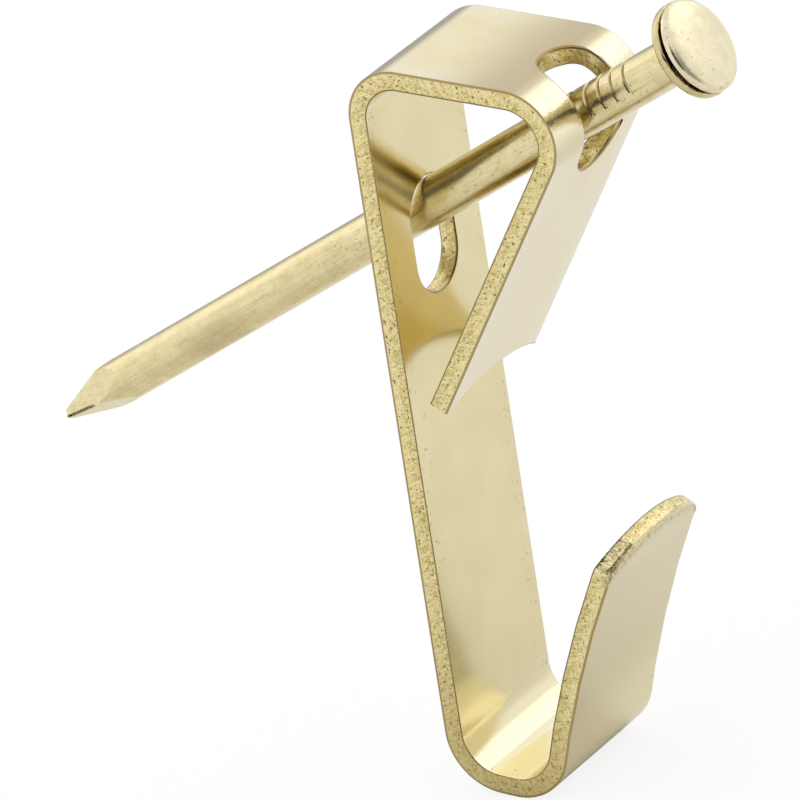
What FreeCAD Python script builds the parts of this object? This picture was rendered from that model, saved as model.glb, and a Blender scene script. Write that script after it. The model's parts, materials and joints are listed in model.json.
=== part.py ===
import FreeCAD, Part
import math
import os

# A picture hook folded from one strip of plated steel, with the nail that it hangs on.
# Millimetres. +Z is up, the wall is the plane y = 0 with its solid on +Y, and the hook's front faces -Y.
# The origin is where the nail's axis passes through the wall face, at the middle of the strip's width.

V = FreeCAD.Vector

# Strip
strip_width = 9.5
strip_thickness = 1.1

# Upper folds: lengths are the flats between bends, radii are on the inside of a bend
plate_length = 35.5
plate_top = 7.15
upper_bend_radius = 1.93
top_bend_angle = 95.0
top_flat = 6.5
front_bend_angle = 116.4
tab_length = 15.8

# Lower folds: the J that carries the wire
j_bend_radius = 2.24
j_first_angle = 83.0
j_flat = 0.9
j_second_angle = 80.4
lip_flare_radius = 66.4
lip_flare_length = 13.55

# Parting cut: the arc that leaves the tab hollow at its end and the lip round at its end
parting_radius = 10.0

# Slots
slot_width = 4.1
plate_slot_length = 6.5
front_slot_start = 0.32

# Nail
nail_pitch = 29.6
nail_diameter = 2.56
nail_length = 49.1
nail_under_head = 21.15
nail_seat_clearance = 0.03
point_length = 5.2
point_tip = 0.45
point_roll = 60.0
point_offset = 0.15
head_diameter = 5.4
head_rim = 0.8
head_rim_rounding = 0.26
head_dome = 0.5
head_fillet = 0.45
ring_count = 5
ring_first = 3.6
ring_pitch = 0.97
ring_width = 0.34
ring_depth = 0.06

# Sizes that follow from the ones above
half_width = strip_width / 2
half_thickness = strip_thickness / 2
slot_radius = slot_width / 2
nail_radius = nail_diameter / 2
pitch = math.radians(nail_pitch)


def at(point, x=0.0):
    """Place a section point, given as distance out from the wall and height, at x across the strip."""
    return V(x, -point[0], point[1])


def step(point, heading, distance):
    """Move a section point by a distance along a heading in radians."""
    return (point[0] + distance * math.cos(heading), point[1] + distance * math.sin(heading))


def fold(start, heading, pieces):
    """Walk the strip's middle line. A piece is (length, 0) for a flat or (middle radius, turn) for a bend.

    Returns the edges of the face on the left, those of the face on the right, and the stations passed.
    """
    left, right = [], []
    stations = [(start, heading)]
    point = start
    for size, turn in pieces:
        if turn == 0:
            end, new_heading = step(point, heading, size), heading
        else:
            to_centre = heading + math.copysign(math.pi / 2, turn)
            centre = step(point, to_centre, size)
            end, new_heading = step(centre, to_centre + math.pi + turn, size), heading + turn
        for edges, side in ((left, half_thickness), (right, -half_thickness)):
            a = step(point, heading + math.pi / 2, side)
            b = step(end, new_heading + math.pi / 2, side)
            if turn == 0:
                edges.append(Part.LineSegment(at(a), at(b)).toShape())
            else:
                radius = size - math.copysign(1.0, turn) * side
                middle = step(centre, to_centre + math.pi + turn / 2, radius)
                edges.append(Part.Arc(at(a), at(middle), at(b)).toShape())
        point, heading = end, new_heading
        stations.append((point, heading))
    return left, right, stations


def normal_cylinder(station, along, radius, reach):
    """A cylinder whose axis stands normal to the strip, a distance along it from a station."""
    point, heading = station
    centre = step(point, heading, along)
    normal = heading + math.pi / 2
    base = step(centre, normal, -reach)
    axis = at(step((0.0, 0.0), normal, 1.0))
    return Part.makeCylinder(radius, 2 * reach, at(base), axis)


def across(points, width):
    """A solid with a polygon section, spread evenly about the middle of the strip."""
    corners = [at(p, -width / 2) for p in points]
    return Part.Face(Part.makePolygon(corners + corners[:1])).extrude(V(width, 0, 0))


# Section of the folded strip: one run up from the top of the plate, one run down from it
upper_radius = upper_bend_radius + half_thickness
j_radius = j_bend_radius + half_thickness
parting_depth = parting_radius - math.sqrt(parting_radius ** 2 - half_width ** 2)
origin_line = (half_thickness, plate_top)
up_left, up_right, up = fold(origin_line, math.pi / 2, [
    (upper_radius, -math.radians(top_bend_angle)),
    (top_flat, 0),
    (upper_radius, -math.radians(front_bend_angle)),
    (tab_length + parting_depth, 0),
])
down_left, down_right, down = fold(origin_line, -math.pi / 2, [
    (plate_length, 0),
    (j_radius, math.radians(j_first_angle)),
    (j_flat, 0),
    (j_radius, math.radians(j_second_angle)),
    (lip_flare_radius, -lip_flare_length / lip_flare_radius),
])


def end_edge(left, right):
    """The straight edge through the thickness at the end of a run."""
    return Part.LineSegment(left[-1].Vertexes[-1].Point, right[-1].Vertexes[-1].Point).toShape()


outline = up_left + up_right + down_left + down_right
outline += [end_edge(up_left, up_right), end_edge(down_left, down_right)]
section = Part.Face(Part.Wire(Part.__sortEdges__(outline)))
section.translate(V(-half_width, 0, 0))
hook = section.extrude(V(strip_width, 0, 0))

# Parting arcs: the tab's end is hollowed, the lip's end is rounded to the same radius


def end_block(station):
    """A block about the end of a run, clear of the strip on every side but along it."""
    point, heading = station
    corners = [step(step(point, heading, a), heading + math.pi / 2, b)
               for a, b in ((-3.0, -1.0), (0.5, -1.0), (0.5, 1.0), (-3.0, 1.0))]
    return across(corners, strip_width + 2.0)


tab_disc = normal_cylinder(up[-1], parting_radius - parting_depth, parting_radius, 3.0)
hook = hook.cut(end_block(up[-1]).common(tab_disc))
lip_disc = normal_cylinder(down[-1], -parting_radius, parting_radius, 3.0)
hook = hook.cut(end_block(down[-1]).cut(lip_disc))

# Slot in the plate: its upper round end comes down onto the nail where the nail leaves the plate's front
nail_top = (strip_thickness * math.tan(pitch)) + nail_radius / math.cos(pitch)
plate_slot_top = nail_top + nail_seat_clearance
upper_centre = plate_slot_top - slot_radius
lower_centre = plate_slot_top - plate_slot_length + slot_radius
slot_y = -2.0 * strip_thickness
slot_run = 3.0 * strip_thickness
plate_slot = Part.makeBox(slot_width, slot_run, upper_centre - lower_centre, V(-slot_radius, slot_y, lower_centre))
for z in (upper_centre, lower_centre):
    plate_slot = plate_slot.fuse(Part.makeCylinder(slot_radius, slot_run, V(0, slot_y, z), V(0, 1, 0)))
hook = hook.cut(plate_slot)

# Slot over the front bend, punched in the flat strip and folded with it, so its walls stay square to the strip.
# The lower round end is on the tab, centred where the bend ends. The upper round end wraps the bend.
bend_point, bend_heading = up[2]
bend_centre = step(bend_point, bend_heading - math.pi / 2, upper_radius)
first_normal = bend_heading + math.pi / 2
last_normal = first_normal - math.radians(front_bend_angle)
apex_normal = first_normal + front_slot_start / upper_radius
wrap_angle = slot_radius / upper_radius
round_normal = apex_normal - wrap_angle
middle_normal = (apex_normal + round_normal) / 2
reach = upper_radius + 2 * strip_thickness


def wrapped_end(distance):
    """Half an ellipse and its straight side, in the plane square to the middle of the wrapped end."""
    lean = distance * math.tan(wrap_angle / 2)
    centre = step(step(bend_centre, middle_normal, distance), middle_normal - math.pi / 2, lean)
    side = V(slot_radius, 0, 0)
    apex = at(step((0.0, 0.0), middle_normal + math.pi / 2, 2 * lean))
    long_side, short_side = (apex, side) if apex.Length > side.Length else (side, apex)
    ellipse = Part.Ellipse(at(centre) + long_side, at(centre) + short_side, at(centre))
    ends = [ellipse.parameter(at(centre) + side), ellipse.parameter(at(centre) - side)]
    ends.sort()
    halves = [Part.ArcOfEllipse(ellipse, ends[0], ends[1]), Part.ArcOfEllipse(ellipse, ends[1], ends[0] + 2 * math.pi)]
    near = [h for h in halves if (h.value((h.FirstParameter + h.LastParameter) / 2) - at(centre)).dot(apex) > 0]
    arc = near[0].toShape()
    straight = Part.LineSegment(arc.Vertexes[-1].Point, arc.Vertexes[0].Point).toShape()
    return Part.Wire([arc, straight])


front_slot = Part.makeLoft([wrapped_end(0.3 * upper_radius), wrapped_end(reach)], True, True)
sector = [bend_centre]
for share in (0.0, 0.5, 1.0):
    normal = round_normal + share * (last_normal - round_normal)
    sector.append(step(bend_centre, normal, 1.4 * reach))
front_slot = front_slot.fuse(across(sector, slot_width))
front_slot = front_slot.fuse(normal_cylinder(up[3], 0.0, slot_radius, 2.0))
hook = hook.cut(front_slot).removeSplitter()

# Nail, turned about +Z with the underside of its head at z = 0, then laid along its slope
shank = [(0.0, -nail_length), (nail_radius, -nail_length), (nail_radius, -head_fillet)]
edges = [Part.LineSegment(V(a[0], 0, a[1]), V(b[0], 0, b[1])).toShape() for a, b in zip(shank, shank[1:])]
head_radius = head_diameter / 2


def round_edge(start, centre, end, radius):
    """An arc from start to end about a centre, in the turning plane."""
    middle = V(*start) + V(*end) - V(*centre) * 2
    middle.normalize()
    return Part.Arc(V(*start), V(*centre) + middle * radius, V(*end)).toShape()


e = head_rim_rounding
edges.append(round_edge((nail_radius, 0, -head_fillet), (nail_radius + head_fillet, 0, -head_fillet),
                        (nail_radius + head_fillet, 0, 0), head_fillet))
edges.append(Part.LineSegment(V(nail_radius + head_fillet, 0, 0), V(head_radius - e, 0, 0)).toShape())
edges.append(round_edge((head_radius - e, 0, 0), (head_radius - e, 0, e), (head_radius, 0, e), e))
edges.append(Part.LineSegment(V(head_radius, 0, e), V(head_radius, 0, head_rim - e)).toShape())
edges.append(round_edge((head_radius, 0, head_rim - e), (head_radius - e, 0, head_rim - e),
                        (head_radius - e, 0, head_rim), e))
dome_radius = ((head_radius - e) ** 2 + head_dome ** 2) / (2 * head_dome)
dome_middle = V(0, 0, head_rim + head_dome - dome_radius)
edges.append(round_edge((head_radius - e, 0, head_rim), tuple(dome_middle), (0, 0, head_rim + head_dome), dome_radius))
edges.append(Part.LineSegment(V(0, 0, head_rim + head_dome), V(0, 0, -nail_length)).toShape())
nail = Part.Face(Part.Wire(Part.__sortEdges__(edges))).revolve(V(0, 0, 0), V(0, 0, 1), 360)


# Grip marks: V grooves turned about an axis below the nail's own, so they bite the top and run out at the sides
for i in range(ring_count):
    middle = -ring_first - i * ring_pitch
    groove = [V(nail_radius, 0, middle), V(nail_radius + 4 * ring_depth, 0, middle - 2 * ring_width),
              V(nail_radius + 4 * ring_depth, 0, middle + 2 * ring_width)]
    mark = Part.Face(Part.makePolygon(groove + groove[:1])).revolve(V(0, 0, 0), V(0, 0, 1), 360)
    mark.translate(V(0, -ring_depth, 0))
    nail = nail.cut(mark)

# Diamond point: four flats pinched from the shank down to a small blunt tip that stands below the nail's axis
point_start = point_length - nail_length
for turn in (0, 90, 180, 270):
    roll = turn + point_roll
    tip = point_tip / 2 - point_offset * math.sin(math.radians(roll))
    section = [V(tip, -head_radius, -nail_length), V(nail_radius, -head_radius, point_start),
               V(2 * nail_radius, -head_radius, point_start), V(2 * nail_radius, -head_radius, -nail_length)]
    flat = Part.Face(Part.makePolygon(section + section[:1])).extrude(V(0, head_diameter, 0))
    flat.rotate(V(0, 0, 0), V(0, 0, 1), roll)
    nail = nail.cut(flat)

# Lay the nail along its slope, so that its axis passes through the origin
nail.rotate(V(0, 0, 0), V(1, 0, 0), 90.0 - nail_pitch)
nail.translate(V(0, -math.cos(pitch), math.sin(pitch)) * nail_under_head)

os.makedirs("parts", exist_ok=True)
hook.exportStep("parts/hook.step")
nail.exportStep("parts/nail.step")
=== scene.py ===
# %% [markdown]
# # A picture hook and its nail
# The hook is one strip of steel that was sheared, punched, folded and then plated with pale brass.
# A loose nail slopes down through two slots in it. This lesson makes the strip the way a press shop does:
# first a flat blank, then its slots, then its folds. The nail is drawn, headed and pointed after that.
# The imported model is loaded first, because it fixes the frame and every size that follows.

# %% Load the frame
import json
import math
import bmesh
import bpy
from mathutils import Matrix, Vector

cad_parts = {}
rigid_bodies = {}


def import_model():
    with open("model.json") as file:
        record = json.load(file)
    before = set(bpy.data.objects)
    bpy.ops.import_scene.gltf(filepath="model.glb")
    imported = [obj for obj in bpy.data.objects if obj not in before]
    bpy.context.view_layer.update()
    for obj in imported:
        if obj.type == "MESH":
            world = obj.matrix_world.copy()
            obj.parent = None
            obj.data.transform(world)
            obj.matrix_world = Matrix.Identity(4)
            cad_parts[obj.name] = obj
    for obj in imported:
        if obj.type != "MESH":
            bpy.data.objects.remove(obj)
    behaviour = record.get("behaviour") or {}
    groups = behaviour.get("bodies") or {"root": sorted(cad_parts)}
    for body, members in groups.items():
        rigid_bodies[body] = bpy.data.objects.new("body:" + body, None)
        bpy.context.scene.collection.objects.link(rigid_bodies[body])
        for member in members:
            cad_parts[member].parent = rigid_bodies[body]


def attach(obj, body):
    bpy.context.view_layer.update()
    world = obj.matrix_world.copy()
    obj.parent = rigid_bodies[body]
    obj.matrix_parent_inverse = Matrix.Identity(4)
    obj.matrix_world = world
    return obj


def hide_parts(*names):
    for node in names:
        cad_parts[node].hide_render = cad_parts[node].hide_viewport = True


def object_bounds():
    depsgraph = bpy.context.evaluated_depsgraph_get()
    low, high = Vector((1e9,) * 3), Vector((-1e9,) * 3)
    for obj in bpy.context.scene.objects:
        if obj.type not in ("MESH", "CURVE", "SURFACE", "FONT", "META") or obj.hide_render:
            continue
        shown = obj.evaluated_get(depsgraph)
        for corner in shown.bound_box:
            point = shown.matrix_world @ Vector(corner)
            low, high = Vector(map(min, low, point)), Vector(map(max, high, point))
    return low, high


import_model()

cad_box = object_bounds()
mm = 0.001
print("CAD box in mm:", [[round(c / mm, 2) for c in corner] for corner in cad_box])

# %% [markdown]
# ## Helpers for working by hand
# Blender's operators act on whatever is selected, so each step first clears the selection and then picks
# what it needs by place. A rotation is given its own centre, and its sign is turned round because an operator
# that runs without a window turns the other way.

# %% Selecting and turning
# Within these distances a place counts as on a plane, and two places count as one
on_plane, touching = 1e-6, 1e-7


def clear_selection():
    """Leave edit mode and let go of every object."""
    if bpy.context.mode != "OBJECT":
        bpy.ops.object.mode_set(mode="OBJECT")
    bpy.ops.object.select_all(action="DESELECT")


def take_up(piece):
    """Make one object the only selected one and the active one."""
    clear_selection()
    piece.select_set(True)
    bpy.context.view_layer.objects.active = piece


def begin_edit(piece, part="VERT"):
    """Open a piece in edit mode with nothing selected."""
    take_up(piece)
    bpy.ops.object.mode_set(mode="EDIT")
    bpy.ops.mesh.select_mode(type=part)
    bpy.ops.mesh.select_all(action="DESELECT")


def end_edit():
    """Go back to object mode."""
    bpy.ops.object.mode_set(mode="OBJECT")


def pick(piece, test):
    """In edit mode, select exactly the vertices whose place the test accepts, and count them."""
    mesh = bmesh.from_edit_mesh(piece.data)
    chosen = 0
    for vertex in mesh.verts:
        vertex.select = bool(test(vertex.co))
        chosen += vertex.select
    mesh.select_flush_mode()
    bmesh.update_edit_mesh(piece.data)
    return chosen


def turn(degrees, axis, centre):
    """Turn the selection about a row axis through a centre, by the right-hand rule."""
    bpy.ops.transform.rotate(value=-math.radians(degrees), orient_axis=axis, orient_type="GLOBAL",
                             center_override=centre)


def shift(x, y, z):
    """Move the selection."""
    bpy.ops.transform.translate(value=(x, y, z), orient_type="GLOBAL")


def apply_modifiers(piece):
    """Turn every modifier on a piece into mesh."""
    take_up(piece)
    for modifier in list(piece.modifiers):
        bpy.ops.object.modifier_apply(modifier=modifier.name)


print("helpers ready")

# %% [markdown]
# ## The camera
# The photograph was taken from the hook's left and a little above, with a long lens, so upright edges barely
# draw together. Edges read from the photograph gave the direction, the distance and a small roll of the camera.

# %% Place the camera
camera_target = Vector((-3.593, 0.308, -9.401)) * mm
camera_azimuth, camera_elevation, camera_roll = -56.18, 22.44, -8.91
camera_distance = 652.6 * mm
camera_lens = 553.3

a, e = math.radians(camera_azimuth), math.radians(camera_elevation)
towards_camera = Vector((math.sin(a) * math.cos(e), -math.cos(a) * math.cos(e), math.sin(e)))
clear_selection()
bpy.ops.object.camera_add(location=camera_target + towards_camera * camera_distance)
camera = bpy.context.object
camera.name = "camera"
camera.rotation_mode = "QUATERNION"
facing = (-towards_camera).to_track_quat("-Z", "Y")
camera.rotation_quaternion = facing @ Matrix.Rotation(math.radians(camera_roll), 3, "Z").to_quaternion()
camera.data.lens = camera_lens
camera.data.sensor_width = 36.0
camera.data.clip_start, camera.data.clip_end = 0.05, 20.0
bpy.context.scene.camera = camera
print("camera at", [round(c, 4) for c in camera.location])

# %% [markdown]
# ## The blank
# A strip 9.5 mm wide and 1.1 mm thick. It could be swept along the folded outline in one go, but the slot that
# crosses the front fold would then have to be cut through a curved wall. Cutting the slots while the strip is
# flat and folding it afterwards keeps their walls square to the metal, as on the real one.
# The blank stands in the plane of the back plate, so the plate never has to move. Its back is at y = 0.

# %% Cut the blank
strip_width, strip_thickness = 9.5 * mm, 1.1 * mm
half_width, half_thickness = strip_width / 2, strip_thickness / 2
plate_top, plate_length = 7.15 * mm, 35.5 * mm
top_flat, tab_length, j_flat = 6.5 * mm, 15.8 * mm, 0.9 * mm
top_bend_angle, front_bend_angle = 95.0, 116.4
j_first_angle, j_second_angle = 83.0, 80.4
upper_bend_radius, j_bend_radius = 1.93 * mm + half_thickness, 2.24 * mm + half_thickness
lip_flare_length, lip_flare_radius = 13.55 * mm, 66.4 * mm
parting_radius = 10.0 * mm
parting_depth = parting_radius - math.sqrt(parting_radius ** 2 - half_width ** 2)

# Each run is a list of (flat length, 0) or (bend length, turn in degrees), from the plate outwards
up_run = [
    (upper_bend_radius * math.radians(top_bend_angle), top_bend_angle),
    (top_flat, 0),
    (upper_bend_radius * math.radians(front_bend_angle), front_bend_angle),
    (tab_length + parting_depth, 0),
]
down_run = [
    (plate_length, 0),
    (j_bend_radius * math.radians(j_first_angle), -j_first_angle),
    (j_flat, 0),
    (j_bend_radius * math.radians(j_second_angle), -j_second_angle),
    (lip_flare_length, math.degrees(lip_flare_length / lip_flare_radius)),
]
blank_top = plate_top + sum(length for length, turned in up_run)
blank_foot = plate_top - sum(length for length, turned in down_run)

clear_selection()
bpy.ops.mesh.primitive_cube_add(size=1.0, location=(0, -half_thickness, (blank_top + blank_foot) / 2))
strip = bpy.context.object
strip.name = "picture_hook_strip"
strip.scale = (strip_width, strip_thickness, blank_top - blank_foot)
bpy.ops.object.transform_apply(location=True, rotation=True, scale=True)
print("blank from %.2f to %.2f mm" % (blank_foot / mm, blank_top / mm))

# %% [markdown]
# ## Slots and cut ends
# Every cutter starts as a cylinder that goes through the strip. A slot's cutter has its upper half pulled up,
# which makes a round-ended bar. The front punch came down a little turned and to one side on this strip, so its
# cutter is turned and moved the same way. Both ends of the strip are cut by one rounded tool: it leaves a hollow
# end on the tab and the matching round end on the lip.

# %% Punch the slots and part the ends
slot_width, plate_slot_length = 4.1 * mm, 6.5 * mm
nail_pitch, nail_radius, nail_clearance = math.radians(29.6), 1.28 * mm, 0.03 * mm
plate_slot_top = strip_thickness * math.tan(nail_pitch) + nail_radius / math.cos(nail_pitch) + nail_clearance
front_bend_start, front_slot_start = plate_top + up_run[0][0] + up_run[1][0], 0.32 * mm
front_slot_foot = front_bend_start - front_slot_start
front_slot_top = front_bend_start + up_run[2][0] + slot_width / 2
punch_turn, punch_aside = 7.0, 0.34 * mm
tool_depth, slot_sides, parting_sides = 6 * mm, 64, 256
lip_tool_size = (2 * strip_width, 4 * mm, 6 * mm)


def round_tool(name, radius, depth, z, sides):
    """A cylinder lying along y through the strip, with its axis at height z."""
    clear_selection()
    bpy.ops.mesh.primitive_cylinder_add(vertices=sides, radius=radius, depth=depth,
                                        location=(0, -half_thickness, z), rotation=(math.pi / 2, 0, 0))
    tool = bpy.context.object
    tool.name = name
    bpy.ops.object.transform_apply(location=True, rotation=True, scale=True)
    return tool


def slot_tool(name, foot, top, askew=0.0, aside=0.0):
    """A round-ended punch from foot to top, turned by some degrees and moved aside."""
    middle = foot + slot_width / 2
    tool = round_tool(name, slot_width / 2, tool_depth, middle, slot_sides)
    begin_edit(tool)
    pick(tool, lambda place: place.z > middle + on_plane)
    shift(0, 0, top - foot - slot_width)
    bpy.ops.mesh.select_all(action="SELECT")
    turn(askew, "Y", (0, 0, (foot + top) / 2))
    shift(aside, 0, 0)
    end_edit()
    return tool


def cut(piece, tool):
    """Cut a piece with a tool and throw the tool away."""
    modifier = piece.modifiers.new("cut", "BOOLEAN")
    modifier.operation, modifier.solver, modifier.object = "DIFFERENCE", "EXACT", tool
    apply_modifiers(piece)
    bpy.data.objects.remove(tool)


cut(strip, slot_tool("plate_slot_punch", plate_slot_top - plate_slot_length, plate_slot_top))
cut(strip, slot_tool("front_slot_punch", front_slot_foot, front_slot_top, punch_turn, punch_aside))
tab_tool_z, lip_tool_z = blank_top - parting_depth + parting_radius, blank_foot + parting_radius
cut(strip, round_tool("tab_parting_tool", parting_radius, tool_depth, tab_tool_z, parting_sides))
clear_selection()
bpy.ops.mesh.primitive_cube_add(size=1.0, location=(0, -half_thickness, blank_foot))
lip_tool = bpy.context.object
lip_tool.scale = lip_tool_size
bpy.ops.object.transform_apply(location=True, rotation=True, scale=True)
cut(lip_tool, round_tool("lip_parting_tool", parting_radius, 2 * lip_tool_size[1], lip_tool_z, parting_sides))
cut(strip, lip_tool)
print("punched blank:", len(strip.data.vertices), "vertices,", len(strip.data.polygons), "faces")

# %% [markdown]
# ## Sheared edges
# A shear rolls the metal over on the side that it enters and leaves a crisper corner where it comes out. The
# wall side of the blank, which becomes the outside of every fold, is the rolled side here. The rims are picked
# by their sharpness, those of each side by their place, and each side gets its own bevel. The lip's end has a
# wider roll, which is made first. A row of vertices above it keeps the wide roll from running on along the strip.

# %% Roll the rims
sharp_angle = math.radians(50)


def bevel_rim(piece, y, width, segments, top=blank_top):
    """Bevel the sharp edges that lie in the plane at this y, no higher than top."""
    begin_edit(piece, "EDGE")
    mesh = bmesh.from_edit_mesh(piece.data)
    chosen = 0
    for edge in mesh.edges:
        in_plane = all(abs(v.co.y - y) < on_plane and v.co.z < top + on_plane for v in edge.verts)
        edge.select = in_plane and len(edge.link_faces) == 2 and edge.calc_face_angle() > sharp_angle
        chosen += edge.select
    mesh.select_flush_mode()
    bmesh.update_edit_mesh(piece.data)
    bpy.ops.mesh.bevel(offset=width, segments=segments, profile=0.5, affect="EDGES", clamp_overlap=False)
    end_edit()
    return chosen


roll, burr, end_roll = 0.18 * mm, 0.11 * mm, 0.42 * mm
lip_end_top = blank_foot + parting_depth
begin_edit(strip)
bpy.ops.mesh.select_all(action="SELECT")
bpy.ops.mesh.remove_doubles(threshold=touching)
bpy.ops.mesh.select_all(action="SELECT")
bpy.ops.mesh.bisect(plane_co=(0, 0, lip_end_top + 2 * end_roll), plane_no=(0, 0, 1))
end_edit()
bevel_rim(strip, 0.0, end_roll, segments=8, top=lip_end_top)
rolled = bevel_rim(strip, 0.0, roll, segments=5)
crisp = bevel_rim(strip, -strip_thickness, burr, segments=3)
print("rolled", rolled, "outer edges and", crisp, "inner edges;", len(strip.data.vertices), "vertices")

# %% [markdown]
# The tool had nearly parted this lip when its last corner broke off. The break is finely faceted, so the end
# wall there is divided and its points are pushed about by a fixed random draw.

# %% Break the lip's corner
break_side, break_height, break_offset = -2.4 * mm, 0.2 * mm, 0.075 * mm
begin_edit(strip, "FACE")
mesh = bmesh.from_edit_mesh(strip.data)
for face in mesh.faces:
    middle = face.calc_center_median()
    on_end = middle.z < lip_end_top + break_height and face.normal.z < -0.5
    face.select = on_end and middle.x < break_side and abs(face.normal.y) < 0.3
bmesh.update_edit_mesh(strip.data)
bpy.ops.mesh.subdivide(number_cuts=1)
bpy.ops.mesh.subdivide(number_cuts=1)
bpy.ops.mesh.select_less()
bpy.ops.transform.vertex_random(offset=break_offset, uniform=0.3, normal=0.5, seed=5)
broken = bmesh.from_edit_mesh(strip.data)
print("broke", sum(v.select for v in broken.verts), "points of the lip's corner")
end_edit()

# %% [markdown]
# ## Fold lines
# A fold needs rows of vertices where the metal gives. The strip is bisected across at even steps inside each
# bend. The flats get a few rows too, so that their shading stays even.

# %% Mark the fold lines
degrees_per_step, row_margin = 4.0, 1 * mm


def fold_lines(run, start, sign):
    """Places of the fold lines along the blank: (place, turn at it, distance from the last line)."""
    lines, place = [], start
    since = 0.0
    for length, turned in run:
        if turned:
            steps = max(4, round(abs(turned) / degrees_per_step))
            part = length / steps
            for i in range(steps):
                ahead = part / 2 if i == 0 else part
                lines.append((place + sign * part * (i + 0.5), turned / steps, since + ahead))
                since = 0.0
            since = part / 2
        else:
            since += length
        place += sign * length
    return lines


up_lines = fold_lines(up_run, plate_top, 1)
down_lines = fold_lines(down_run, plate_top, -1)
flat_rows = [plate_top, plate_top - plate_length, front_bend_start, plate_slot_top + row_margin,
             plate_slot_top - plate_slot_length - row_margin]
begin_edit(strip)
for z in sorted([line[0] for line in up_lines + down_lines] + flat_rows):
    bpy.ops.mesh.select_all(action="SELECT")
    bpy.ops.mesh.bisect(plane_co=(0, 0, z), plane_no=(0, 0, 1))
end_edit()
print(len(up_lines) + len(down_lines), "fold lines;", len(strip.data.vertices), "vertices")

# %% [markdown]
# ## What the flat metal remembers
# The finish needs to know things that are easy to read now and hard to read after folding: where a point lies on
# the flat strip, in millimetres, and whether it is on the sheared wall, on the rolled rim or on the crisp rim.
# They are kept as attributes of the mesh.

# %% Keep the blank's own places
rim_share, end_share, least_share = 0.9, 0.95, 0.02
kept = strip.data.attributes
for name, kind in (("blank", "FLOAT_VECTOR"), ("wall", "FLOAT"), ("rolled_rim", "FLOAT"), ("crisp_rim", "FLOAT")):
    kept.new(name, kind, "POINT")
for vertex in strip.data.vertices:
    from_back, from_front = -vertex.co.y, strip_thickness + vertex.co.y
    at_lip_end = vertex.co.z < lip_end_top + end_roll and abs(vertex.co.x) < half_width - roll
    kept["blank"].data[vertex.index].vector = vertex.co / mm
    turned_over = end_share * end_roll if at_lip_end else rim_share * roll
    kept["wall"].data[vertex.index].value = from_back > turned_over and from_front > rim_share * burr
    kept["rolled_rim"].data[vertex.index].value = least_share * roll < from_back < turned_over and not at_lip_end
    kept["crisp_rim"].data[vertex.index].value = least_share * burr < from_front < rim_share * burr
blank_z = [vertex.co.z for vertex in strip.data.vertices]
print("kept places of", len(blank_z), "vertices")

# %% [markdown]
# ## Folding
# At each fold line, everything beyond it is turned by a few degrees about the middle of the metal's thickness.
# The line's own vertices turn half as far, which mitres the step. The lines' places move as the strip folds,
# so they are followed along.

# %% Fold the strip
def fold(piece, lines, start, sign):
    """Fold a run, line by line, outwards from the plate."""
    y, z, turned = -half_thickness, start, 0.0
    begin_edit(piece)
    for place, angle, ahead in lines:
        heading = math.radians(turned)
        y -= sign * ahead * math.sin(heading)
        z += sign * ahead * math.cos(heading)
        for edge in (-touching, touching):
            mesh = bmesh.from_edit_mesh(piece.data)
            for vertex in mesh.verts:
                vertex.select = sign * (blank_z[vertex.index] - place) > edge
            mesh.select_flush_mode()
            bmesh.update_edit_mesh(piece.data)
            turn(angle / 2, "X", (0, y, z))
        turned += angle
    end_edit()
    return turned


print("upper run turned", round(fold(strip, up_lines, plate_top, 1), 1), "degrees")
print("lower run turned", round(fold(strip, down_lines, plate_top, -1), 1), "degrees")
low = [min(v.co[i] for v in strip.data.vertices) / mm for i in range(3)]
high = [max(v.co[i] for v in strip.data.vertices) / mm for i in range(3)]
print("folded strip", [round(c, 2) for c in low], [round(c, 2) for c in high])

# %% Smooth the strip
take_up(strip)
bpy.ops.object.shade_smooth_by_angle(angle=math.radians(40))
even = strip.modifiers.new("even_shading", "WEIGHTED_NORMAL")
even.keep_sharp = True
even.weight = 60
apply_modifiers(strip)
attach(strip, "root")
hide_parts("hook")
print("strip finished with", len(strip.data.polygons), "faces")

# %% [markdown]
# ## The nail
# A nail is cut from round wire. Its head is upset against grips that bite the top of the wire, and its point is
# pinched into four flats. It is made upright from one circle that is extruded and resized up to the crown of
# its head. The metal of this head was folded over itself, so a lap runs round it between a flange and a cap.

# %% Draw the shank and upset the head
nail_length, nail_under_head = 49.1 * mm, 21.15 * mm
head_radius, head_fillet, rim_rounding = 2.70 * mm, 0.45 * mm, 0.26 * mm
lap_height, lap_radius = 0.58 * mm, 2.36 * mm
cap_radius, crown_height, pillow = 2.66 * mm, 1.24 * mm, 3.2
wire_sides, wire_rows, wire_step = 96, 80, 0.5 * mm
fillet_steps, rim_steps, cap_steps, last_cap_angle = 8, 6, 17, 88

clear_selection()
bpy.ops.mesh.primitive_circle_add(vertices=wire_sides, radius=nail_radius, fill_type="NGON",
                                  location=(0, 0, -nail_length))
nail = bpy.context.object
nail.name = "picture_hook_nail"
bpy.ops.object.transform_apply(location=True, rotation=True, scale=True)
begin_edit(nail)
bpy.ops.mesh.select_all(action="SELECT")
reached = [-nail_length, nail_radius]


def draw_to(z, radius):
    """Extrude the open end of the nail up to z and give it this radius."""
    bpy.ops.mesh.extrude_region_move(TRANSFORM_OT_translate={"value": (0, 0, z - reached[0])})
    scale = radius / reached[1]
    bpy.ops.transform.resize(value=(scale, scale, 1), center_override=(0, 0, z))
    reached[0], reached[1] = z, radius


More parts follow.
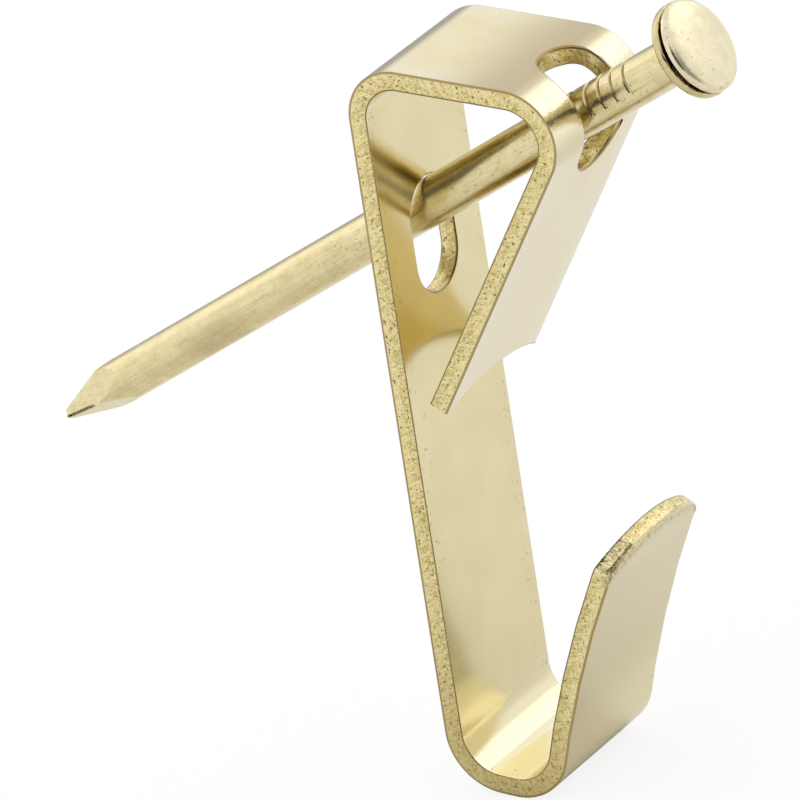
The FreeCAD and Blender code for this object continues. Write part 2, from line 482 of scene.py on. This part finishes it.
# Grip marks in mm: (distance under the head, width, depth)
grip_marks = [(7.75, 0.50, 0.16), (6.48, 0.30, 0.15), (5.50, 0.26, 0.14), (4.57, 0.24, 0.13), (3.60, 0.24, 0.10)]
for i in range(wire_rows):
    draw_to(-nail_length + wire_step * (i + 1), nail_radius)
for below, width, depth in grip_marks:
    for share in (-0.5, -0.2, 0.2, 0.5):
        draw_to((-below + share * width) * mm, nail_radius)
for i in range(fillet_steps + 1):
    angle = math.radians(90 * i / fillet_steps)
    draw_to(-head_fillet + head_fillet * math.sin(angle), nail_radius + head_fillet * (1 - math.cos(angle)))
for i in range(rim_steps + 1):
    angle = math.radians(90 * i / rim_steps)
    draw_to(rim_rounding * (1 - math.cos(angle)), head_radius - rim_rounding * (1 - math.sin(angle)))
# The lap: (height over its middle in mm, radius of the edge it belongs to, inset from that edge in mm)
lap_rows = [(-0.10, head_radius, 0.0), (-0.04, head_radius, 0.02), (-0.01, head_radius, 0.07),
            (-0.005, lap_radius, 0.0), (0.015, lap_radius, 0.0),
            (0.03, cap_radius, 0.06), (0.07, cap_radius, 0.01)]
for rise, radius, inset in lap_rows:
    draw_to(lap_height + rise * mm, radius - inset * mm)
cap_foot = lap_height + 0.12 * mm
for i in range(cap_steps + 1):
    angle = math.radians(last_cap_angle * i / cap_steps)
    rise = (crown_height - cap_foot) * math.sin(angle) ** (2 / pillow)
    draw_to(cap_foot + rise, cap_radius * math.cos(angle) ** (2 / pillow))
bpy.ops.mesh.merge(type="CENTER")
end_edit()
print("nail turned:", len(nail.data.vertices), "vertices")

# %% [markdown]
# The grips only bit the top of the wire, so each mark is pressed in there and runs out at the sides. The lap is
# tight on one side of the head and gapes on the other, so the cap is tipped about its tight side. A flat on the
# shank shows where the wire was once struck.

# %% Press the marks and open the lap
grip_share, grip_side, grip_foot = 0.3, 0.6, -0.25 * nail_radius
lap_gape, cap_lean, lap_offset = 2.1, -0.7, 0.03 * mm
lap_middle, lap_reach, lap_outside = 0.05 * mm, 0.16 * mm, 2.5 * mm
# The flat: the way it faces and its ends in mm, then (distance from the axis past which it is pressed, how far)
struck, struck_low, struck_high, struck_run_out = Vector((-0.88, -0.47, 0)), -39.4, -33.6, 12.0
struck_steps = [(1.02, 0.02), (1.10, 0.025), (1.17, 0.025)]
begin_edit(nail)
for below, width, depth in grip_marks:
    pick(nail, lambda place: abs(place.z + below * mm) < grip_share * width * mm and place.y > grip_foot)
    press = depth * mm / nail_radius
    bpy.ops.transform.resize(value=(1 - grip_side * press, 1 - press, 1), center_override=(0, 0, -below * mm))
lifted = pick(nail, lambda place: place.z > lap_height)
turn(lap_gape, "Y", (cap_radius, 0, lap_height))
turn(cap_lean, "X", (0, 0, lap_height))
ragged = pick(nail, lambda place: (abs(place.z - lap_height - lap_middle) < lap_reach
                                   and place.xy.length > lap_outside))
bpy.ops.transform.vertex_random(offset=lap_offset, uniform=0.0, normal=0.0, seed=3)
for reach, depth in struck_steps:
    run_out = struck_run_out * (reach - struck_steps[0][0])
    pick(nail, lambda place: ((struck_low + run_out) * mm < place.z < (struck_high - run_out) * mm
                              and place.dot(struck) > reach * mm))
    shift(*(struck * -depth * mm))
end_edit()
print("lifted", lifted, "vertices of the cap and roughened", ragged, "along the lap")

# %% [markdown]
# The point has four flats that meet the wire in curved edges and leave a small blunt tip just below the axis.
# A filled bisection leaves double faces where the flats run out along the wire, so each flat is cut by a block.
# The pinch left a short crack along the lower ridge, which is cut by a thin bar.

# %% Pinch the point
point_length, point_tip, point_roll, point_offset = 5.2 * mm, 0.45 * mm, 60.0, 0.15 * mm
block_size, crack_size, crack_above = 16.0 * mm, (0.14 * mm, 0.18 * mm, 2.6 * mm), 1.5


def point_flat(k):
    """The direction that a flat of the point faces, and its distance from the axis at the tip."""
    around = math.radians(point_roll + 90 * k)
    outward = Vector((math.cos(around), math.sin(around), 0))
    return outward, point_tip / 2 - point_offset * math.sin(around)


for k in range(4):
    outward, tip = point_flat(k)
    slope = math.atan2(nail_radius - tip, point_length)
    normal = outward * math.cos(slope) - Vector((0, 0, 1)) * math.sin(slope)
    on_flat = outward * tip - Vector((0, 0, nail_length))
    clear_selection()
    bpy.ops.mesh.primitive_cube_add(size=block_size, location=on_flat + normal * (block_size / 2),
                                    rotation=normal.to_track_quat("Z", "Y").to_euler())
    cut(nail, bpy.context.object)

# The ridge that faces down and left lies where the second and third flats meet, in mm per mm above the tip
ridge_foot, ridge_lean = Vector((0, 0, 0)), Vector((0, 0, 1))
for k in (1, 2):
    outward, tip = point_flat(k)
    ridge_foot += outward * (tip / mm)
    ridge_lean += outward * ((nail_radius - tip) / point_length)
crack_middle = (ridge_foot + ridge_lean * crack_above) * mm - Vector((0, 0, nail_length))
clear_selection()
bpy.ops.mesh.primitive_cube_add(size=1.0, location=crack_middle,
                                rotation=ridge_lean.to_track_quat("Z", "Y").to_euler())
crack_tool = bpy.context.object
crack_tool.scale = crack_size
bpy.ops.object.transform_apply(location=True, rotation=True, scale=True)
cut(nail, crack_tool)

# %% [markdown]
# The cuts left doubled points, which are merged. The edges of the flats are marked sharp, because some of them
# meet the wire at too small an angle to be found by an angle alone.

# %% Clean the point
point_zone, least_slope, least_angle = 1.1 * point_length, 0.05, math.radians(20)
begin_edit(nail)
bpy.ops.mesh.select_all(action="SELECT")
bpy.ops.mesh.remove_doubles(threshold=touching)
bpy.ops.mesh.normals_make_consistent(inside=False)
bpy.ops.mesh.select_mode(type="EDGE")
bpy.ops.mesh.select_all(action="DESELECT")
mesh = bmesh.from_edit_mesh(nail.data)
for edge in mesh.edges:
    low_down = all(v.co.z < point_zone - nail_length for v in edge.verts)
    slopes = [face.normal.z for face in edge.link_faces]
    edge.select = low_down and (max(slopes) - min(slopes) > least_slope or edge.calc_face_angle() > least_angle)
bmesh.update_edit_mesh(nail.data)
bpy.ops.mesh.mark_sharp()
end_edit()
print("nail pointed:", len(nail.data.vertices), "vertices")

# %% [markdown]
# The finish runs along the wire, so the upright places are kept before the nail is laid down. The inside of the
# lap is marked too, because no plating reached it.

# %% Lay the nail on its slope
lap_zone, lap_margin, grip_fade = 0.2 * mm, 0.06 * mm, 0.3
kept = nail.data.attributes
for name, kind in (("drawn", "FLOAT_VECTOR"), ("lap", "FLOAT"), ("grip", "FLOAT")):
    kept.new(name, kind, "POINT")
for vertex in nail.data.vertices:
    radius = math.hypot(vertex.co.x, vertex.co.y)
    kept["drawn"].data[vertex.index].vector = vertex.co / mm
    bitten = any(abs(vertex.co.z + below * mm) < grip_share * width * mm for below, width, depth in grip_marks)
    kept["grip"].data[vertex.index].value = bitten * min(1.0, max(0.0, grip_fade + vertex.co.y / nail_radius))
    at_lap = abs(vertex.co.z - lap_height) < lap_zone
    kept["lap"].data[vertex.index].value = at_lap and radius < lap_radius + lap_margin
begin_edit(nail)
bpy.ops.mesh.select_all(action="SELECT")
turn(90 - math.degrees(nail_pitch), "X", (0, 0, 0))
shift(0, -math.cos(nail_pitch) * nail_under_head, math.sin(nail_pitch) * nail_under_head)
end_edit()
take_up(nail)
bpy.ops.object.shade_smooth_by_angle(angle=math.radians(30), keep_sharp_edges=True)
even = nail.modifiers.new("even_shading", "WEIGHTED_NORMAL")
even.keep_sharp = True
apply_modifiers(nail)
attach(nail, "root")
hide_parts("nail")
low = [min(v.co[i] for v in nail.data.vertices) / mm for i in range(3)]
high = [max(v.co[i] for v in nail.data.vertices) / mm for i in range(3)]
print("nail     ", [round(c, 2) for c in low], [round(c, 2) for c in high])

# %% [markdown]
# ## Shader maths
# A finish is easier to read as an expression than as a list of links. The small class below wraps a socket, so
# that Python's own operators add Math nodes. A second class holds the nodes of one finish, and one of its
# methods makes every node.

# %% A value that varies
class Value:
    """A number that varies over a surface."""

    def __init__(self, finish, socket):
        self.finish, self.socket = finish, socket

    def _math(self, operation, *inputs):
        return self.finish.make("ShaderNodeMath", {"operation": operation}, dict(enumerate(inputs)))

    def __add__(self, other): return self._math("ADD", self, other)
    def __radd__(self, other): return self._math("ADD", other, self)
    def __sub__(self, other): return self._math("SUBTRACT", self, other)
    def __rsub__(self, other): return self._math("SUBTRACT", other, self)
    def __mul__(self, other): return self._math("MULTIPLY", self, other)
    def __rmul__(self, other): return self._math("MULTIPLY", other, self)
    def __pow__(self, other): return self._math("POWER", self, other)

    def between(self, low, high):
        """0 below low, 1 above high, smooth from one to the other."""
        return self.finish.make("ShaderNodeMapRange", {"interpolation_type": "SMOOTHSTEP"},
                                {"Value": self, "From Min": low, "From Max": high})

    def within(self, start, full, fade, end):
        """0 before start and past end, 1 from full to fade, smooth on both sides."""
        return self.between(start, full) * (1.0 - self.between(fade, end))


def distance(a, b):
    """How far a place is from an axis, from its two offsets."""
    return (a * a + b * b) ** 0.5


print("values ready")

# %% A finish
class Finish:
    """The nodes of one material or of the world."""

    def __init__(self, owner):
        self.owner = owner
        owner.use_nodes = True
        self.tree = owner.node_tree
        self.tree.nodes.clear()

    def make(self, kind, settings=None, inputs=None, output=0):
        """Add a node, set it up, feed its sockets, and wrap one of its outputs."""
        node = self.tree.nodes.new(kind)
        for name, value in (settings or {}).items():
            setattr(node, name, value)
        for name, value in (inputs or {}).items():
            if isinstance(value, Value):
                self.tree.links.new(value.socket, node.inputs[name])
            else:
                node.inputs[name].default_value = value
        return Value(self, node.outputs[output])

    def attribute(self, name, output="Fac"):
        """What the mesh remembers under this name."""
        return self.make("ShaderNodeAttribute", {"attribute_name": name}, None, output)

    def parts(self, place):
        """The three numbers of a place."""
        split = self.make("ShaderNodeSeparateXYZ", None, {"Vector": place})
        return [Value(self, output) for output in split.socket.node.outputs]

    def stretched(self, place, scale, rotation=(0, 0, 0)):
        """A place turned and then stretched."""
        turned = self.make("ShaderNodeMapping", None, {"Vector": place, "Rotation": rotation})
        return self.make("ShaderNodeMapping", None, {"Vector": turned, "Scale": scale})

    def noise(self, place, scale, detail=2.0, roughness=0.5):
        """Soft noise from 0 to 1."""
        return self.make("ShaderNodeTexNoise", None,
                         {"Vector": place, "Scale": scale, "Detail": detail, "Roughness": roughness})

    def mix(self, low, high, factor):
        """Blend two colours. A Mix node has sockets for numbers, vectors and colours: 6 and 7 are its colours."""
        sockets = {0: factor}
        for index, colour in ((6, low), (7, high)):
            sockets[index] = colour if isinstance(colour, Value) else (*colour, 1.0)
        return self.make("ShaderNodeMix", {"data_type": "RGBA"}, sockets, 2)

    def metal(self, colour, roughness, height, depth):
        """Close the material as bare metal with a relief of this depth."""
        relief = self.make("ShaderNodeBump", None, {"Height": height, "Distance": depth})
        self.show(self.make("ShaderNodeBsdfPrincipled", None, {
            "Base Color": colour, "Metallic": 1.0, "Roughness": roughness, "Normal": relief}))

    def show(self, surface, output="ShaderNodeOutputMaterial"):
        """Link a surface to the output."""
        node = self.tree.nodes.new(output)
        self.tree.links.new(surface.socket, node.inputs["Surface"])

    def dress(self, piece):
        """Give a piece this finish and no other."""
        piece.data.materials.clear()
        piece.data.materials.append(self.owner)
        print(piece.name, "finished in", self.owner.name, "with", len(self.tree.nodes), "nodes")


print("finishes ready")

# %% [markdown]
# ## Pale brass plating
# Bright plating over rolled steel: a smooth metal, slightly uneven in tone, with faint lines along the strip and
# a fine peel. Every pattern is laid out on the flat blank, in millimetres, so it bends with the strip. First come
# the places that the tones depend on and the noises that several of them share.

# %% Places and patterns on the strip
plating = Finish(bpy.data.materials.new("pale_brass_plating"))
flat_place = plating.attribute("blank", "Vector")
on_wall, on_roll, on_crisp = [plating.attribute(name) for name in ("wall", "rolled_rim", "crisp_rim")]
on_face = 1.0 - on_wall
sideways, wallwards, upwards = plating.parts(flat_place)
through = wallwards * -1.0
aside = (sideways * sideways) ** 0.5
from_bend = upwards - front_bend_start / mm
from_hook = upwards - (plate_top - plate_length) / mm
lines = plating.noise(plating.stretched(flat_place, (9.0, 9.0, 0.25)), 1.0, 3.0)
ridges = plating.noise(plating.stretched(flat_place, (1.5, 1.0, 7.0), (0.55, 0, 0)), 1.0, 2.0)
cloud = plating.noise(flat_place, 0.3, 2.0).between(0.35, 0.65)
peel = plating.noise(flat_place, 12.0, 2.0)
grain = plating.noise(flat_place, 7.5, 4.0, 0.65)
print("plating has", len(plating.tree.nodes), "nodes for its places and patterns")

# %% [markdown]
# The tone of the plating is not the same all over. On the outside it is greyer at the edges. Just before the
# front bend it has painted shade, and on the bend itself a painted highlight; the metal there was also stretched,
# which roughened its skin. The lip's outer face has painted shade towards its end and painted light towards the
# J. On the inside, painted shade makes the loop a deeper gold and a painted highlight makes the J paler. A place
# through the thickness tells the two sides apart. Each blend names its two tones and where on the strip the
# second one takes over, in millimetres along it, across it or through it.

# %% Tone the faces
straw, pale_straw, edge_straw = (0.665, 0.585, 0.365), (0.685, 0.615, 0.405), (0.69, 0.64, 0.475)
bend_painted_shade, bend_painted_highlight = (0.436, 0.355, 0.213), (0.79, 0.73, 0.52)
lip_painted_shade, lip_foot_painted_light = (0.63, 0.555, 0.345), (0.80, 0.72, 0.47)
inner_gold, pale_gold = (0.705, 0.62, 0.375), (0.735, 0.65, 0.40)
j_painted_highlight, loop_painted_shade = (0.775, 0.715, 0.50), (0.705, 0.595, 0.30)

outer_tone = plating.mix(plating.mix(straw, pale_straw, cloud), edge_straw, aside.between(2.2, 4.7) * 0.8)
# Painted shade on the outer face just before the front bend
painted_shade_tone = plating.mix(outer_tone, bend_painted_shade, from_bend.between(-5.2, 0.0) * 0.95)
# The front bend: a painted highlight in its tone, and the stretched skin's relief further down
stretch_and_highlight = from_bend.within(0.2, 1.6, 3.2, 5.0)
bend_tone = plating.mix(painted_shade_tone, bend_painted_highlight, stretch_and_highlight)
past_bend = plating.mix(bend_tone, outer_tone, from_bend.between(3.2, 5.0))
# Painted light and shade on the lip's outer face: darker towards its end, paler towards the J
lip_tone = plating.mix(lip_painted_shade, lip_foot_painted_light, from_hook.between(-14.0, -8.5))
outer_side = plating.mix(lip_tone, past_bend, from_hook.between(-9.0, -4.0))
inner_tone = plating.mix(inner_gold, pale_gold, cloud)
# Painted highlight: the inside of the J is painted paler
hook_tone = plating.mix(inner_tone, j_painted_highlight, from_hook.within(-12.0, -6.0, -4.0, 2.0))
# Painted shade: the inside of the loop is painted a deeper gold
inner_side = plating.mix(hook_tone, loop_painted_shade, from_bend.between(-10.0, -8.0))
face_tone = plating.mix(outer_side, inner_side, through.between(0.3, 0.8))
print("faces toned,", len(plating.tree.nodes), "nodes")

# %% [markdown]
# The sheared walls are ridged on the slant and grainy, with small dark pits where the plating did not cover the
# break. They are painted darker low down in the J, as painted shade, and the broken corner of the lip is painted
# paler, as a painted glint. The rolled rim is painted browner than the faces, as painted shade on the roll, and
# the crisp rim carries a thin broken dark line.

# %% Tone the walls and rims
wall_shade, wall_shine = (0.52, 0.42, 0.16), (0.82, 0.71, 0.38)
low_wall_painted_shade, painted_glint = (0.42, 0.32, 0.115), (0.90, 0.81, 0.52)
rim_painted_shade, rim_line, pit_brown = (0.34, 0.24, 0.09), (0.20, 0.13, 0.04), (0.26, 0.16, 0.045)
broken_top = (lip_end_top + 0.5 * mm - plate_top + plate_length) / mm

torn = (through + ridges * 0.3).between(0.60, 0.78) * on_wall
pits = plating.noise(flat_place, 5.5, 2.0).between(0.615, 0.68) * on_wall
broken = (1.0 - from_hook.between(broken_top - 0.4, broken_top)) * (1.0 - sideways.between(-2.6, -2.2))
sheared = (ridges * 0.4 + grain * 0.6 - torn * 0.04).between(0.34, 0.58)
wall_tone = plating.mix(wall_shade, wall_shine, sheared)
# Painted shade: the walls are painted darker low down in the J
wall_with_painted_shade = plating.mix(wall_tone, low_wall_painted_shade, from_hook.within(-13.0, -8.0, -1.0, 8.0) * 0.4)
# Painted glint: the broken corner of the lip is painted paler
wall_with_painted_glint = plating.mix(wall_with_painted_shade, painted_glint, broken * 0.8)
# Painted shade: the rolled rim is painted browner than the faces
rolled_shaded_tone = plating.mix(face_tone, rim_painted_shade, on_roll * 0.9)
walled = plating.mix(rolled_shaded_tone, wall_with_painted_glint, on_wall)
lined = plating.mix(walled, rim_line, on_crisp * grain.between(0.25, 0.45))
print("walls and rims toned,", len(plating.tree.nodes), "nodes")

# %% [markdown]
# Wear comes last: specks near the long edges, and a rubbed band along the lip's end, which follows the round cut
# at an even distance. The relief is very fine, except on the walls and on the front bend, where stretching
# roughened the skin of the metal.

# %% Wear and relief of the strip
speck_brown, rub_brown = (0.34, 0.25, 0.10), (0.40, 0.31, 0.15)
specks = plating.noise(flat_place, 4.2, 1.0).between(0.68, 0.73) * aside.between(2.6, 4.6) * on_face
speckled = plating.mix(lined, speck_brown, specks * 0.6)
from_end = parting_radius / mm - distance(sideways, upwards - (blank_foot + parting_radius) / mm)
near_end = (1.0 - from_end.between(0.25, 1.25)) * (1.0 - from_hook.between(-20.0, -15.0))
rubs = plating.noise(flat_place, 5.0, 4.0, 0.7).between(0.46, 0.60) * (1.0 - through.between(0.25, 0.45))
rubbed = plating.mix(speckled, rub_brown, near_end * rubs * 0.7)
pitted = plating.mix(rubbed, pit_brown, pits)
rough = 0.13 + (lines + peel) * 0.05 + on_roll * 0.12 + on_wall * (0.10 + broken * 0.15) + torn * 0.08
skin = plating.noise(flat_place, 5.0, 3.0, 0.6) * stretch_and_highlight * on_face
wall_relief = (ridges * 0.6 + grain * 0.5) * (0.5 * on_wall + 0.7 * torn)
height = (peel + lines) * 0.015 + skin * 0.6 + wall_relief - pits * 0.5
plating.metal(pitted, rough, height, 0.03 * mm)
plating.dress(strip)

# %% [markdown]
# ## Satin nail
# The wire was drawn and tumbled, so it is duller than the strip: fine lines along it, a soft mottle, some
# scratches, flecks on the part nearer the head and a brown patch on the struck flat. The head is paler than the
# shank.

# %% Tone the nail
satin = Finish(bpy.data.materials.new("satin_brass_nail"))
drawn_place = satin.attribute("drawn", "Vector")
across, up, along = satin.parts(drawn_place)
lines = satin.noise(satin.stretched(drawn_place, (7.0, 7.0, 0.3)), 1.0, 3.0)
mottle = satin.noise(drawn_place, 1.3, 4.0, 0.6)
grain = satin.noise(drawn_place, 13.0, 2.0, 0.7)
streaks = satin.noise(satin.stretched(drawn_place, (4.0, 4.0, 0.5), (0.12, 0.1, 0)), 1.0, 2.0)
wire_shade, wire_shine, scratch_brown = (0.61, 0.515, 0.265), (0.745, 0.655, 0.395), (0.52, 0.42, 0.22)
flange_brown, head_shade, head_shine = (0.56, 0.46, 0.24), (0.685, 0.61, 0.41), (0.75, 0.685, 0.485)

wire_tone = satin.mix(wire_shade, wire_shine, (mottle * 0.4 + lines * 0.3 + grain * 0.3).between(0.36, 0.62))
scratched = satin.mix(wire_tone, scratch_brown, streaks.between(0.63, 0.70) * 0.5)
flanged = satin.mix(scratched, flange_brown, along.between(-0.2, 0.1) * 0.7)
head_tone = satin.mix(head_shade, head_shine, (mottle * 0.7 + grain * 0.3).between(0.38, 0.60))
on_head = along.between(0.58, 0.70)
headed = satin.mix(flanged, head_tone, on_head)
print("nail toned,", len(satin.tree.nodes), "nodes")

# %% [markdown]
# The marks are found by their place on the upright nail. No plating reached the inside of the lap and of the
# crack, so both are dark. The grip marks are coloured brown, most on the top of the wire.

# %% Mark the nail
patch_brown, fleck_brown, grip_brown = (0.50, 0.38, 0.21), (0.40, 0.28, 0.12), (0.22, 0.14, 0.05)
crack_dark, lap_dark = (0.10, 0.06, 0.02), (0.05, 0.03, 0.01)
to_struck = across * struck.x + up * struck.y
patch = to_struck.between(0.7, 1.15) * along.within(-39.6, -37.6, -35.4, -33.4)
scuff = (lines * 0.3 + grain * 0.7).between(0.38, 0.62)
patched = satin.mix(headed, patch_brown, patch * (0.15 + scuff * 0.6))
flecks = satin.noise(drawn_place, 4.0, 1.0).between(0.64, 0.70) * along.between(-31.0, -26.0)
flecked = satin.mix(patched, fleck_brown, flecks * to_struck.between(0.1, 0.8) * 0.5)
gripped = satin.mix(flecked, grip_brown, satin.attribute("grip"))
above_tip = along + nail_length / mm
ridge_x, ridge_y = ridge_foot.x + ridge_lean.x * above_tip, ridge_foot.y + ridge_lean.y * above_tip
from_ridge = distance(across - ridge_x, up - ridge_y)
crack = (1.0 - (from_ridge + grain * 0.2).between(0.18, 0.28)) * (1.0 - above_tip.between(2.3, 2.9))
cracked = satin.mix(gripped, crack_dark, crack)
lapped = satin.mix(cracked, lap_dark, satin.attribute("lap"))
on_tail = 1.0 - along.between(-34.0, -20.0)
rough = 0.15 + on_tail * 0.05 + (mottle + grain) * 0.07
satin.metal(lapped, rough, grain * 0.2 + lines * 0.12 + mottle * (0.2 + on_head * 0.5), 0.02 * mm)
satin.dress(nail)

# %% [markdown]
# ## The studio
# A white floor and a white tent round it, as for a catalogue picture. The camera sees the floor nearly as pure
# white with a trace of shadow. The metal sees the floor's own shading, darker where the hook shades it, and a
# painted shadow under the nail as well, and that gives the lower faces their depth.

# %% Lay the floor
floor_radius, floor_sides, floor_middle, floor_gap = 0.30, 128, (-0.16, -0.10), 0.05 * mm
floor_z = cad_box[0].z - floor_gap
clear_selection()
bpy.ops.mesh.primitive_circle_add(vertices=floor_sides, radius=floor_radius, fill_type="NGON",
                                  location=(*floor_middle, floor_z))
floor = bpy.context.object
floor.name = "studio_floor"
bpy.ops.object.transform_apply(location=True, rotation=True, scale=True)

paper = Finish(bpy.data.materials.new("white_paper"))
paper_white, paper_painted_shadow, paper_glow = (0.96, 0.96, 0.96), (0.85, 0.84, 0.81), 0.85
shade_x, shade_y, shade_full, shade_end = -10.0 * mm, 22.0 * mm, 10.0 * mm, 36.0 * mm
from_camera = paper.make("ShaderNodeLightPath", None, None, "Is Camera Ray")
paper_x, paper_y = paper.parts(paper.make("ShaderNodeTexCoord", None, None, "Object"))[:2]
# A painted shadow on the paper under the nail, which only the metal sees
painted_shadow_under_nail = 1.0 - distance(paper_x - shade_x, paper_y - shade_y).between(shade_full, shade_end)
paper_tone = paper.mix(paper_white, paper_painted_shadow, painted_shadow_under_nail * (1.0 - from_camera))
diffuse = paper.make("ShaderNodeBsdfDiffuse", None, {"Color": paper_tone})
glow = paper.make("ShaderNodeEmission", None, {"Color": (1.0, 1.0, 1.0, 1.0), "Strength": 1.0})
paper.show(paper.make("ShaderNodeMixShader", None, {0: from_camera * paper_glow, 1: diffuse, 2: glow}))
paper.dress(floor)
print("floor at", round(floor_z / mm, 2), "mm")

# %% [markdown]
# The tent is the world. It has a dim gap at the back on the right, past the edge of the paper, which draws a
# darker line along the top of the nail. It is open and dim at the front, and darkest round the camera. The nail
# and the strip round it mirror each other and show that dark place, which gives the loop its brown depth.

# %% Raise the tent
tent = Finish(bpy.data.worlds.new("tent"))
tent_glow = 1.13
from_camera = tent.make("ShaderNodeLightPath", None, None, "Is Camera Ray")
right, back, upward = tent.parts(tent.make("ShaderNodeTexCoord", None, None, "Generated"))
dim_gap = right.between(0.2, 0.6) * back.between(0.2, 0.5) * (1.0 - upward.between(0.05, 0.32))
dim_front = (1.0 - back.between(-0.90, -0.65)) * (1.0 - right.between(0.20, 0.45))
to_camera = right * towards_camera.x + back * towards_camera.y + upward * towards_camera.z
dim_camera = to_camera.between(0.84, 0.94)
sky = (tent_glow - dim_gap * 0.65 - dim_front * 0.75) * (1.0 - dim_camera * 0.95)
brightness = from_camera + (1.0 - from_camera) * sky
background = tent.make("ShaderNodeBackground", None, {"Color": (1.0, 1.0, 1.0, 1.0), "Strength": brightness})
tent.show(background, "ShaderNodeOutputWorld")
bpy.context.scene.world = tent.owner
print("tent raised with", len(tent.tree.nodes), "nodes")

# %% [markdown]
# Three soft boxes stand in the tent, at the front on the right and behind. A lamp's power is worked out from the
# brightness that its face adds to the tent's, so that a mirror shows it a little brighter than the tent.

# %% Set the soft boxes
box_distance = 0.6


def soft_box(name, towards, size, glow):
    """A square lamp that looks at the hook from a direction, with a face of this glow."""
    clear_selection()
    direction = Vector(towards).normalized()
    bpy.ops.object.light_add(type="AREA", location=camera_target + direction * box_distance)
    lamp = bpy.context.object
    lamp.name = name
    lamp.rotation_mode = "QUATERNION"
    lamp.rotation_quaternion = direction.to_track_quat("Z", "Y")
    lamp.data.size, lamp.data.energy = size, glow * math.pi * size ** 2
    print(name, "gives", round(lamp.data.energy, 3), "W")


soft_box("front_right_box", (0.77, -0.34, 0.60), 0.40, 0.50)
soft_box("back_box", (0.10, 0.92, 0.40), 0.36, 0.32)
soft_box("back_right_box", (0.77, 0.44, 0.50), 0.36, 0.08)

# %% Set the colour view
bpy.context.scene.view_settings.view_transform = "Standard"
